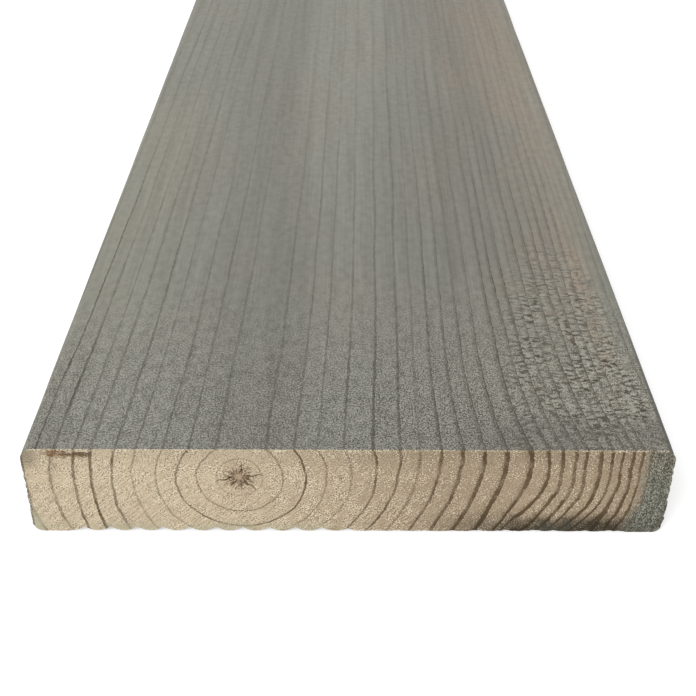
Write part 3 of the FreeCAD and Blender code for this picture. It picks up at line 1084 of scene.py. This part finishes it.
    # Ring lines are crisp near the ends, and grow soft and wide away from them and on the sides.
    at_side = g.calc("MULTIPLY", unseen, g.ramp(g.calc("ABSOLUTE", x), 71.4, 72.2))
    late = g.calc("MULTIPLY", ring["Band"], g.ramp(x, 10, 40, 0.36, 0.30))
    late = g.calc("MAXIMUM", late, g.calc("MULTIPLY", ring["Line"], g.ramp(x, 8, 34, 1.0, 0.72)))
    edge = g.calc("MULTIPLY", ring["Edge"], g.ramp(x, 8, 34, 1.25, 2.0))
    late = g.calc("MAXIMUM", late, g.calc("MULTIPLY", edge, g.calc("SUBTRACT", 1.0, at_side)))
    soft = g.calc("MAXIMUM", g.ramp(from_end, 95, 260, 0.0, 0.92), g.calc("MULTIPLY", at_side, 0.85))
    late = g.blend(soft, late, g.calc("MULTIPLY", ring["Soft"], 0.66))
    late = g.calc("MULTIPLY", late, g.calc("MULTIPLY", g.profile(x, GRAIN_STRENGTH, 1.5), 1.25))
    late = g.calc("MULTIPLY", late, g.profile(from_end, GRAIN_FADE, 1.25))
    broken = g.ramp(g.lumps(place, (0.8, 1.6, 0.8), 1, 49), 0.35, 0.65, 0.72, 1.25)
    late = g.calc("MULTIPLY", late, broken)
    late = g.calc("MULTIPLY", late, g.calc("MULTIPLY_ADD", torn, -0.20, 1.0))
    outermost = g.calc("MULTIPLY", g.ramp(x, -66.5, -68.0), g.ramp(from_end, 45, 10, 0.0, 0.2))
    late = g.calc("MULTIPLY", late, g.calc("SUBTRACT", 1.0, outermost))
    late = g.calc("MULTIPLY", late, g.calc("MULTIPLY_ADD", unseen, 0.25, 1.0))
    late = g.calc("MULTIPLY", late, g.calc("MULTIPLY_ADD", at_side, g.ramp(from_end, 60, 250, -0.5, 0.7), 1.0))
    colour = g.paint(g.calc("MINIMUM", late, 1.0), colour, STAINED_RING)

    # A paler patch on the left, a darker one right of the middle, darker strips at the end, and painted shade
    # on the right-hand rounded edge near the end.
    dark_patch = g.calc("MULTIPLY", box_mask(g, x, 27, 51, 4), box_mask(g, from_end, 80, 205, 15))
    colour = g.paint(g.calc("MULTIPLY", dark_patch, 0.06), colour, STAIN_DARK)
    pale_left = g.calc("MULTIPLY", g.ramp(x, -42, -62), box_mask(g, from_end, 40, 210, 25))
    colour = g.paint(g.calc("MULTIPLY", pale_left, 0.11), colour, STAIN_YELLOWED)
    dark_end = g.calc("MULTIPLY", g.ramp(x, 18, 38), g.ramp(from_end, 17, 5))
    colour = g.paint(g.calc("MULTIPLY", dark_end, 0.33), colour, STAIN_DARK)
    # Painted shade on the right-hand rounded edge, near the end.
    painted_arris_shade = g.calc("MULTIPLY", g.ramp(x, 70.2, 71.4), g.ramp(from_end, 60, 22))
    painted_arris_shade = g.calc("MULTIPLY", painted_arris_shade, g.calc("SUBTRACT", 1.0, unseen))
    colour = g.paint(g.calc("MULTIPLY", painted_arris_shade, 0.75), colour, STAIN_DARK)
    dark_corner = g.calc("MULTIPLY", box_mask(g, x, -69.0, -63.5, 2.0), g.ramp(from_end, 24, 6))
    colour = g.paint(g.calc("MULTIPLY", dark_corner, 0.16), colour, STAIN_DARK)

    # The face is darker near the ends, most of all right of the pith.
    end_tone = g.ramp(from_end, 0, 240, g.profile(x, END_TONE), 1.0, "LINEAR")
    tone = g.calc("MULTIPLY", g.profile(x, STAIN_TONE), end_tone)
    colour = g.vector("MULTIPLY", colour, g.join(tone, tone, tone))

    height = g.calc("MULTIPLY", g.calc("MULTIPLY", fine, rough), 0.10)
    height = g.calc("ADD", height, g.calc("MULTIPLY", fibre, 0.03))
    height = g.calc("SUBTRACT", height, g.calc("MULTIPLY", ring["Line"], 0.08))
    height = g.calc("SUBTRACT", height, g.calc("MULTIPLY", g.calc("MULTIPLY", torn, dash), 0.35))
    return colour, height


# The scene round the board

FLOOR_SIZE = 14.0
FLOOR_LEVEL = -0.1 * MM


def only_for_camera(g):
    """1 for what the camera sees straight or in gloss, 0 for light on the object."""
    path = g.node("ShaderNodeLightPath").outputs
    seen = g.calc("MAXIMUM", path["Is Camera Ray"], path["Is Glossy Ray"])
    return g.calc("MAXIMUM", seen, path["Is Transmission Ray"])


def pale_floor():
    bpy.ops.mesh.primitive_plane_add(size=FLOOR_SIZE, location=(0, 0, FLOOR_LEVEL))
    floor = bpy.context.object
    floor.name = "floor"
    material = bpy.data.materials.new("floor")
    material.use_nodes = True
    g = Graph(material.node_tree)
    matt = g.node("ShaderNodeBsdfDiffuse", {"Color": (0.72, 0.72, 0.72, 1)}).outputs[0]
    glow = g.node("ShaderNodeEmission", {"Strength": g.calc("MULTIPLY", only_for_camera(g), 0.52)})
    both = g.node("ShaderNodeAddShader", [matt, glow.outputs[0]]).outputs[0]
    g.node("ShaderNodeOutputMaterial", [both])
    floor.data.materials.append(material)


def studio_light():
    world = bpy.data.worlds.new("studio")
    bpy.context.scene.world = world
    world.use_nodes = True
    g = Graph(world.node_tree)
    strength = g.blend(only_for_camera(g), 0.62, 1.0)
    sky = g.node("ShaderNodeBackground", {"Color": (1, 1, 1, 1), "Strength": strength}).outputs[0]
    g.node("ShaderNodeOutputWorld", [sky])

    lamp = bpy.data.lights.new("key", "SUN")
    lamp.energy = 1.5
    lamp.angle = math.radians(24)
    key = bpy.data.objects.new("key", lamp)
    toward = Vector((0.50, 0.75, -0.90))
    key.rotation_mode = "QUATERNION"
    key.rotation_quaternion = toward.to_track_quat("-Z", "Y")
    bpy.context.scene.collection.objects.link(key)


# The camera, fitted to the photograph: place from the near end's foot, in millimetres.
CAMERA_PLACE = (0.44, -196.36, 180.44)
PITCH_DOWN = math.radians(33.439)
YAW = math.radians(-0.125)
ROLL = math.radians(-0.061)
FOCAL_PIXELS = 1139.1
IMAGE_PIXELS = 696
SENSOR = 36.0


def photo_camera():
    data = bpy.data.cameras.new("camera")
    data.sensor_width = SENSOR
    data.lens = FOCAL_PIXELS / IMAGE_PIXELS * SENSOR
    data.clip_start = 0.01
    camera = bpy.data.objects.new("camera", data)
    ahead = Vector(
        (
            math.sin(YAW) * math.cos(PITCH_DOWN),
            math.cos(YAW) * math.cos(PITCH_DOWN),
            -math.sin(PITCH_DOWN),
        )
    )
    level = Vector((math.cos(YAW), -math.sin(YAW), 0))
    down = ahead.cross(level)
    right = level * math.cos(ROLL) + down * math.sin(ROLL)
    up = level * math.sin(ROLL) - down * math.cos(ROLL)
    turn = Matrix((right, up, -ahead)).transposed()
    x, y, z = CAMERA_PLACE
    spot = Vector((x, y + NEAR_END, z)) * MM
    camera.matrix_world = Matrix.Translation(spot) @ turn.to_4x4()
    bpy.context.scene.collection.objects.link(camera)
    bpy.context.scene.camera = camera


board = board_object()
ring_group()
board.data.materials.append(surface("grey stained wood", stained_wood, 0.72, 0.35, 1.0))
board.data.materials.append(surface("sawn end grain", sawn_wood, 0.9, 0.15, 1.0))
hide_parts("decking_board")
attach(board, "root")

photo_camera()
pale_floor()
studio_light()
bpy.context.scene.view_settings.view_transform = "Standard"
